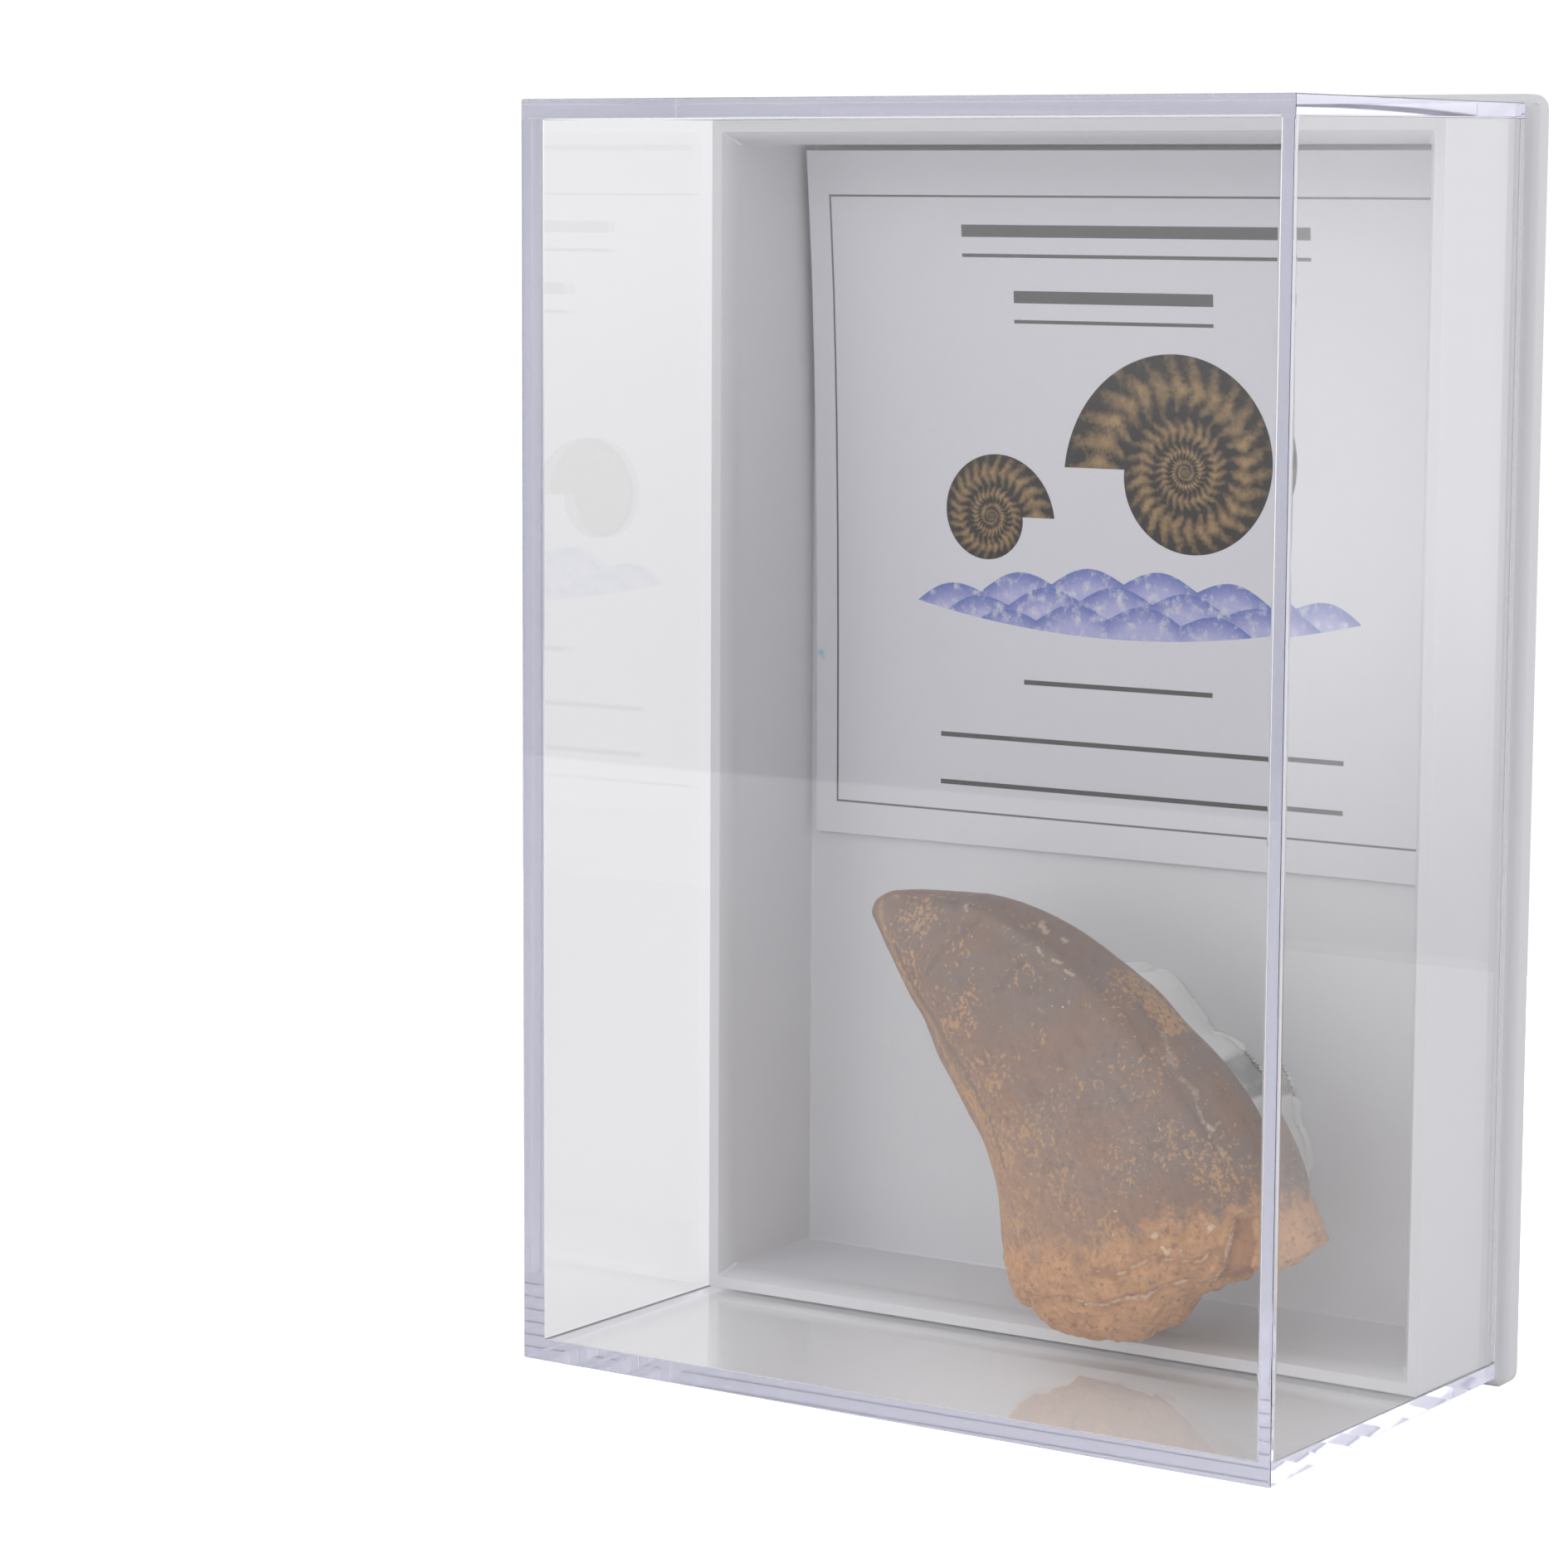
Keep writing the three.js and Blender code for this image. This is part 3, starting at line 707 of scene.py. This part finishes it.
def fossil_tooth(colours):
    """Phosphatised tooth: satin brown enamel with fine fibres along it, which thins out in flecks
    over a matt, porous, orange-tan root."""
    material, tree, shader, place = new_material("Fossil enamel and root")
    turned = node(tree, "Mapping", place, None, (0, math.radians(-30), 0), vector_type="TEXTURE")
    drawn_out = node(tree, "VectorMath", turned, (4, 4, 0.5), operation="MULTIPLY")
    fibres = node(tree, "TexNoise", drawn_out, 1.0, 3.0)
    grain = node(tree, "TexNoise", place, 1 / 0.35, 4.0, 0.7)
    enamel = enamel_colours(tree, place, fibres, grain, colours)
    root = root_colours(tree, place, grain, colours)
    edge = ragged(tree, place, "above_gum", 1.1, 1.5)
    bare = node(tree, "MapRange", edge, 1.1, -0.9, interpolation_type="SMOOTHSTEP")
    surface = node(tree, "Mix", bare, enamel, root, data_type="RGBA")
    pores = node(tree, "Math", grain, 1.5, operation="MULTIPLY")
    relief = node(tree, "Math", grain, 0.06, operation="MULTIPLY")
    relief = node(tree, "Math", fibres, 0.18, relief, operation="MULTIPLY_ADD")
    height = node(tree, "Mix", bare, relief, pores, data_type="FLOAT")
    bump = node(tree, "Bump", 0.5, 0.12 * MM, None, height)
    gloss = node(tree, "MapRange", bare, 0.0, 1.0, 0.48, 0.85)
    set_sockets(tree, shader, {"Base Color": surface, "Roughness": gloss, "Normal": bump, "IOR": 1.6})
    return material


class FOSSIL_OT_clear_cover(bpy.types.Operator):
    """Adds the clear cover: a box open at the back"""

    bl_idname = "fossil.clear_cover"
    bl_label = "Clear cover"

    def execute(self, context):
        sizes = context.scene.fossil_sizes
        low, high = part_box("clear_cover")
        wall = sizes.cover_wall
        high.y -= sizes.cover_gap
        cover = add_block("cover", low, high)
        pick(cover, "FACE", lambda f: f.normal.y > STRAIGHT)
        bpy.ops.mesh.inset(thickness=sizes.cover_rim, depth=0)
        pull(y=-(high.y - low.y - wall))
        opening = [high[i] - low[i] - 2 * sizes.cover_rim for i in (X, Z)]
        inside = [high[i] - low[i] - 2 * wall for i in (X, Z)]
        shrink(*opening, *inside, (low + high) / 2)
        edge, inner = sizes.cover_edge, sizes.cover_inner_edge
        within_wall = high.x - 0.3 * wall

        def runs_back(line, is_outside):
            """Whether an edge runs back along the outside or the inside of the walls."""
            return along(line, Y) > STRAIGHT and (abs(line.verts[0].co.x) > within_wall) == is_outside

        bevel(cover, lambda e: runs_back(e, True), edge)
        bevel(cover, lambda e: lies_at(e, Y, low.y), edge)
        bevel(cover, lambda e: runs_back(e, False), inner)
        bevel(cover, lambda e: lies_at(e, Y, low.y + wall), inner)
        bevel(cover, lambda e: lies_at(e, Y, high.y), *COVER_RIM_EDGE)
        finish_shape(cover, flat_faces=True)
        dress(cover, clear_polystyrene(context.scene.fossil_colours), "clear_polystyrene", "clear_cover")
        return {"FINISHED"}


class FOSSIL_OT_base(bpy.types.Operator):
    """Adds the white base: a back plate and the tray wall that fits inside the cover"""

    bl_idname = "fossil.base"
    bl_label = "White base"

    def execute(self, context):
        sizes = context.scene.fossil_sizes
        low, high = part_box("base_tray")
        plate_front = high.y - sizes.plate_thickness
        middle = (low + high) / 2
        plate = (high.x - low.x, high.z - low.z)
        tray = (plate[0] - 2 * sizes.tray_side_gap, plate[1] - 2 * sizes.tray_end_gap)
        rim = [side - 2 * sizes.tray_draft for side in tray]
        lip = [side - 2 * sizes.tray_lip for side in rim]
        hollow = [side - 2 * sizes.tray_wall for side in rim]
        floor_y = plate_front - sizes.floor_raise

        base = add_block("base", Vector((low.x, plate_front, low.z)), high)
        pick(base, "FACE", lambda f: f.normal.y < -STRAIGHT)
        pull()
        shrink(*plate, *tray, middle)
        pull(y=low.y - plate_front)
        shrink(*tray, *rim, middle)
        pull()
        shrink(*rim, *lip, middle)
        pull(y=sizes.tray_chamfer)
        shrink(*lip, *hollow, middle)
        pull(y=floor_y - low.y - sizes.tray_chamfer)

        rim_x, rim_z = (side / 2 - RIM_SLACK for side in plate)

        def is_plate(edge):
            """Whether an edge lies on the rim of the plate."""
            return all(abs(v.co.x) > rim_x or abs(v.co.z - middle.z) > rim_z for v in edge.verts)

        bevel(base, lambda e: along(e, Y) > STRAIGHT and is_plate(e), *PLATE_CORNER)
        bevel(base, lambda e: along(e, Y) > LEANING and not is_plate(e), *TRAY_CORNER)
        for y in (plate_front, high.y):
            bevel(base, lambda e: lies_at(e, Y, y) and is_plate(e), *PLATE_EDGE)
        bevel(base, lambda e: lies_at(e, Y, floor_y), *FLOOR_EDGE)
        bevel(base, lambda e: lies_at(e, Y, low.y), *LIP_EDGE)
        finish_shape(base, flat_faces=True)
        dress(base, white_polystyrene(context.scene.fossil_colours), "white_polystyrene", "base_tray")
        return {"FINISHED"}


class FOSSIL_OT_card(bpy.types.Operator):
    """Adds the label card, bowed forwards towards its top edge"""

    bl_idname = "fossil.card"
    bl_label = "Label card"

    def execute(self, context):
        sizes = context.scene.fossil_sizes
        low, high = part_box("label_card")
        height = high.z - low.z
        first_up, first_bow = CARD_PROFILE[1]
        front_bottom = Vector((low.x, high.y - sizes.card_thickness, low.z))
        card = add_block("card", front_bottom, Vector((high.x, high.y, low.z + first_up * height)))
        pick(card, "FACE", lambda f: f.normal.z > STRAIGHT)
        bpy.ops.transform.translate(value=(0, -first_bow * sizes.card_bow, 0))
        for (up0, bow0), (up1, bow1) in zip(CARD_PROFILE[1:], CARD_PROFILE[2:]):
            pull(y=-(bow1 - bow0) * sizes.card_bow, z=(up1 - up0) * height)
        ends = (low.z, high.z)
        bevel(card, lambda e: along(e, X) > STRAIGHT and any(lies_at(e, Z, z) for z in ends), *CARD_EDGE)
        finish_shape(card, 20, flat_faces=True)
        dress(card, printed_card(context.scene.fossil_colours), "printed_card", "label_card")
        return {"FINISHED"}


def to_folds(place, normal):
    """The distance to the folds between the putty's rolls."""
    return min(distance_to(fold, place.x, place.z) for fold in PUTTY_FOLDS)


def fold_share(place, normal):
    """The putty close to a fold."""
    return 1 - smooth_step(to_folds(place, normal), 0.05, 0.5)


def bulge_share(place, normal):
    """The right side of the putty, which is slimmer."""
    rightwards = 0.6 * smooth_step(place.x, 4, 6) + 0.4 * smooth_step(place.x, 7, 10)
    return smooth_step(normal.x + normal.z, 0.2, 0.9) * rightwards


def head_share(place, normal):
    """The upper end of the putty, which is fuller."""
    return smooth_step(normal.z, 0.1, 0.7) * (1 - smooth_step(place.x, 3.2, 4.8))


class FOSSIL_OT_putty(bpy.types.Operator):
    """Adds the rolled lump of adhesive putty behind the tooth"""

    bl_idname = "fossil.putty"
    bl_label = "Putty"

    def execute(self, context):
        putty = copy_of("putty", "putty_lump")
        modify(putty, "REMESH", "fine mesh", mode="VOXEL", voxel_size=0.2 * MM, use_smooth_shade=True)
        modify(putty, "SMOOTH", "soft", factor=0.5, iterations=5)
        measure(putty, "to_folds", to_folds)
        for name, rule in (("folds", fold_share), ("bulge", bulge_share), ("head", head_share)):
            mark(putty, name, rule)
        for name, height in (("bulge", -0.7), ("head", 0.3), ("folds", -0.35)):
            raise_surface(putty, name, height, name)
        raise_surface(putty, "dents", 0.25, mid_level=0.6, texture=texture("putty dents", "CLOUDS", 2.2))
        finish_shape(putty, 60)
        dress(putty, adhesive_putty(context.scene.fossil_colours), "adhesive_putty", "putty")
        return {"FINISHED"}


def held_off_back(normal):
    """Millimetres that hold a mark of the front away from the back of the tooth."""
    return FAR_ON_BACK * smooth_step(normal.y, 0.3, 0.7)


def to_lines(*lines):
    """A rule for the distance to the nearest of the lines on the front, which is far away on the back."""

    def rule(place, normal):
        return min(distance_to(line, place.x, place.z) for line in lines) + held_off_back(normal)

    return rule


def to_patch(outline):
    """A rule for the distance to a patch on the front, negative inside it."""
    closed = (*outline, outline[0])

    def rule(place, normal):
        crossings = sum(
            (z0 > place.z) != (z1 > place.z) and place.x < x0 + (place.z - z0) / (z1 - z0) * (x1 - x0)
            for (x0, z0), (x1, z1) in zip(closed, closed[1:])
        )
        return distance_to(closed, place.x, place.z) * (-1 if crossings % 2 else 1) + held_off_back(normal)

    return rule


def above_gum(place, normal):
    """How far the tooth's surface lies above its gum line."""
    return place.z - height_on(GUM_LINE, place.x)


def root_share(place, normal):
    """The rough root below a ragged gum line, weaker towards its right corner."""
    bare = 1 - smooth_step(above_gum(place, normal) + 0.8 * noise.noise(place * 0.7), -0.9, 0.6)
    return bare * (1 - 0.7 * smooth_step(place.x, 14.5, 16.5))


def crack_share(place, normal):
    """The tooth close to a crack."""
    return 1 - smooth_step(to_lines(*CRACKS)(place, normal), 0.05, 0.3)


def chip_share(place, normal):
    """The chipped place of the root."""
    return 1 - smooth_step(to_patch(CHIP)(place, normal), -0.2, 0.05)


def hang(place):
    """How far the root's lower edge hangs lower here, fading out upwards."""
    return height_on(HANGS, place.x) * (1 - smooth_step(place.z - height_on(UNDERSIDE, place.x), 0.6, 2.6))


def flank_share(place, normal):
    """The right flank, which is slimmer than the round section."""
    return smooth_step(place.x, 13, 17) * smooth_step(place.z, 9.5, 12.5) * smooth_step(normal.x, 0.1, 0.7)


def shoulder_share(place, normal):
    """The upper right shoulder of the crown, which is a little slimmer."""
    within = smooth_step(place.x, 7, 10) * (1 - smooth_step(place.x, 17, 18))
    return within * smooth_step(normal.x + normal.z, 0.5, 1.2)


def corner_share(place, normal):
    """The root's right corner, which is worn round."""
    return smooth_step(place.x, 16.8, 17.6) * (1 - smooth_step(place.z, 11.5, 12.5))


def front_edge_share(place, normal):
    """The upper part of the front edge, which is a little slimmer."""
    return smooth_step(place.z, 18.5, 21) * (1 - smooth_step(place.z, 25.5, 27)) * smooth_step(-normal.x, 0.2, 0.8)


def crest_share(place, normal):
    """The top of the crown behind the tip, which is a little higher."""
    return smooth_step(place.x, -6, -2) * (1 - smooth_step(place.x, 0, 7)) * smooth_step(normal.z, 0.2, 0.8)


class FOSSIL_OT_tooth(bpy.types.Operator):
    """Adds the fossil tooth, its fine surface modelled over the CAD form"""

    bl_idname = "fossil.tooth"
    bl_label = "Fossil tooth"

    def execute(self, context):
        tooth = copy_of("tooth", "fossil")
        edit_all()
        bpy.ops.mesh.tris_convert_to_quads(face_threshold=math.radians(60), shape_threshold=math.radians(60))
        bpy.ops.object.mode_set(mode="OBJECT")
        modify(tooth, "SUBSURF", "fine mesh", levels=2, render_levels=2)
        edit_all()
        bpy.ops.mesh.bisect(plane_co=WORN_TIP * MM, plane_no=WORN_TIP_FACES, clear_outer=True)
        bpy.ops.mesh.select_all(action="DESELECT")
        bpy.ops.mesh.select_mode(type="EDGE")
        bpy.ops.mesh.select_non_manifold(extend=False)
        bpy.ops.mesh.edge_face_add()
        bpy.ops.mesh.poke()
        bpy.ops.object.mode_set(mode="OBJECT")
        for name, rule in (
            ("above_gum", above_gum),
            ("to_cracks", to_lines(*CRACKS)),
            ("to_dark_lines", to_lines(*DARK_LINES)),
            ("to_front_edge", to_lines(FRONT_EDGE)),
            ("to_ridge", to_lines(RIDGE)),
            ("to_scratches", to_lines(*SCRATCHES)),
            ("to_chip", to_patch(CHIP)),
            ("to_sandy_patch", to_patch(SANDY_PATCH)),
        ):
            measure(tooth, name, rule)
        for name, rule in (
            ("root", root_share),
            ("cracks", crack_share),
            ("chip", chip_share),
            ("flank", flank_share),
            ("front edge", front_edge_share),
            ("crest", crest_share),
            ("shoulder", shoulder_share),
            ("corner", corner_share),
            ("low", lambda place, normal: hang(place)),
            ("high", lambda place, normal: -hang(place)),
        ):
            mark(tooth, name, rule)
        lumps = texture("root lumps", "CLOUDS", 1.1, noise_depth=3)
        pits = texture("root pits", "VORONOI", 0.45)
        dents = texture("enamel dents", "CLOUDS", 2.5)
        for name, height in (("flank", -0.4), ("front edge", -0.22), ("crest", 0.22)):
            raise_surface(tooth, name, height, name)
        for name, height in (("low", -1), ("high", 1)):
            raise_surface(tooth, name, height, name, direction="Z")
        raise_surface(tooth, "shoulder", -0.35, "shoulder")
        modify(tooth, "SMOOTH", "corner", factor=0.8, iterations=15, vertex_group="corner")
        raise_surface(tooth, "lumps", 0.6, "root", mid_level=0.55, texture=lumps)
        raise_surface(tooth, "pits", 0.25, "root", mid_level=0.5, texture=pits)
        for name, height in (("cracks", -0.18), ("chip", -0.35)):
            raise_surface(tooth, name, height, name)
        raise_surface(tooth, "dents", 0.12, mid_level=0.6, texture=dents)
        finish_shape(tooth, 60)
        dress(tooth, fossil_tooth(context.scene.fossil_colours), "fossil_tooth", "tooth")
        return {"FINISHED"}


class FOSSIL_OT_stage(bpy.types.Operator):
    """Adds the pale table, the soft light and the camera"""

    bl_idname = "fossil.stage"
    bl_label = "Stage"

    def execute(self, context):
        studio = context.scene.fossil_studio
        bpy.ops.object.select_all(action="DESELECT")
        bpy.ops.mesh.primitive_plane_add(size=1, location=TABLE_MIDDLE)
        table = name_piece("table")
        bpy.ops.transform.resize(value=TABLE_SIZE)
        bpy.ops.object.transform_apply(location=True, rotation=True, scale=True)
        material, tree, shader, place = new_material("Pale table")
        tone = dim((1, 1, 1), studio.table_tone)
        seen = node(tree, "LightPath", output="Is Camera Ray")
        glow = node(tree, "MapRange", seen, 0.0, 1.0, 0.0, studio.backdrop)
        lit = {"Emission Color": (1, 1, 1, 1), "Emission Strength": glow}
        set_sockets(tree, shader, {"Base Color": tone, "Roughness": 0.6, **lit})
        table.data.materials.append(material)

        world = bpy.data.worlds.new("Soft white room")
        context.scene.world = world
        world.use_nodes = True
        tree = world.node_tree
        room = tree.nodes["Background"]
        room.inputs["Color"].default_value = ROOM_TINT
        direction = node(tree, "TexCoord", output="Generated")
        sideways, away, up = (node(tree, "SeparateXYZ", direction, output=axis) for axis in "XYZ")

        # Each step blends two parts of the room as a direction goes from its first number to its next
        soft = {"interpolation_type": "SMOOTHSTEP"}
        front = node(tree, "MapRange", up, -0.11, 0.08, studio.below, studio.left_front, **soft)
        left = node(tree, "MapRange", away, -0.4, 0.4, front, studio.left_back, **soft)
        behind = node(tree, "MapRange", up, -0.17, -0.06, 0.5 * studio.right_back, studio.right_back, **soft)
        right = node(tree, "MapRange", away, -0.2, 0.5, studio.right_front, behind, **soft)
        around = node(tree, "MapRange", sideways, -0.1, 0.35, left, right, **soft)
        light = node(tree, "MapRange", up, 0.4, 0.8, around, studio.overhead, **soft)
        seen = node(tree, "LightPath", output="Is Camera Ray")
        brightness = node(tree, "Mix", seen, light, studio.backdrop, data_type="FLOAT")
        tree.links.new(brightness, room.inputs["Strength"])

        bpy.ops.object.camera_add(location=CAMERA_PLACE * MM)
        camera = context.object
        turn = Euler((math.radians(90 - CAMERA_ELEVATION), 0, math.radians(CAMERA_AZIMUTH))).to_matrix()
        roll = Euler((0, 0, math.radians(CAMERA_ROLL))).to_matrix()
        camera.rotation_euler = (turn @ roll).to_euler()
        camera.data.lens = CAMERA_LENS
        camera.data.sensor_width = SENSOR_WIDTH
        camera.data.dof.use_dof = False
        context.scene.camera = camera
        context.scene.view_settings.view_transform = "Standard"
        light_paths = context.scene.cycles
        light_paths.max_bounces = light_paths.glossy_bounces = light_paths.transmission_bounces = CLEAR_BOUNCES
        light_paths.diffuse_bounces = DIFFUSE_BOUNCES
        # Reflections inside the clear walls stay sharp
        light_paths.blur_glossy = 0
        return {"FINISHED"}


class FOSSIL_PT_panel(bpy.types.Panel):
    """The buttons that build the display box, with its sizes, colours and light"""

    bl_label = "Fossil display box"
    bl_idname = "FOSSIL_PT_panel"
    bl_space_type = "VIEW_3D"
    bl_region_type = "UI"
    bl_category = "Fossil"

    def draw(self, context):
        for step in STEPS:
            self.layout.operator(step.bl_idname)
        for group in (context.scene.fossil_sizes, context.scene.fossil_colours, context.scene.fossil_studio):
            for name in group.__annotations__:
                self.layout.prop(group, name)


STEPS = (
    FOSSIL_OT_base,
    FOSSIL_OT_card,
    FOSSIL_OT_putty,
    FOSSIL_OT_tooth,
    FOSSIL_OT_clear_cover,
    FOSSIL_OT_stage,
)
GROUPS = (DisplayBoxSizes, DisplayBoxColours, StudioSettings)


def register():
    for part in (*GROUPS, *STEPS, FOSSIL_PT_panel):
        bpy.utils.register_class(part)
    bpy.types.Scene.fossil_sizes = PointerProperty(type=DisplayBoxSizes)
    bpy.types.Scene.fossil_colours = PointerProperty(type=DisplayBoxColours)
    bpy.types.Scene.fossil_studio = PointerProperty(type=StudioSettings)


def unregister():
    for name in ("fossil_sizes", "fossil_colours", "fossil_studio"):
        delattr(bpy.types.Scene, name)
    for part in reversed((*GROUPS, *STEPS, FOSSIL_PT_panel)):
        bpy.utils.unregister_class(part)


def main():
    register()
    bpy.ops.fossil.base()
    bpy.ops.fossil.card()
    bpy.ops.fossil.putty()
    bpy.ops.fossil.tooth()
    bpy.ops.fossil.clear_cover()
    bpy.ops.fossil.stage()


if __name__ == "__main__":
    main()
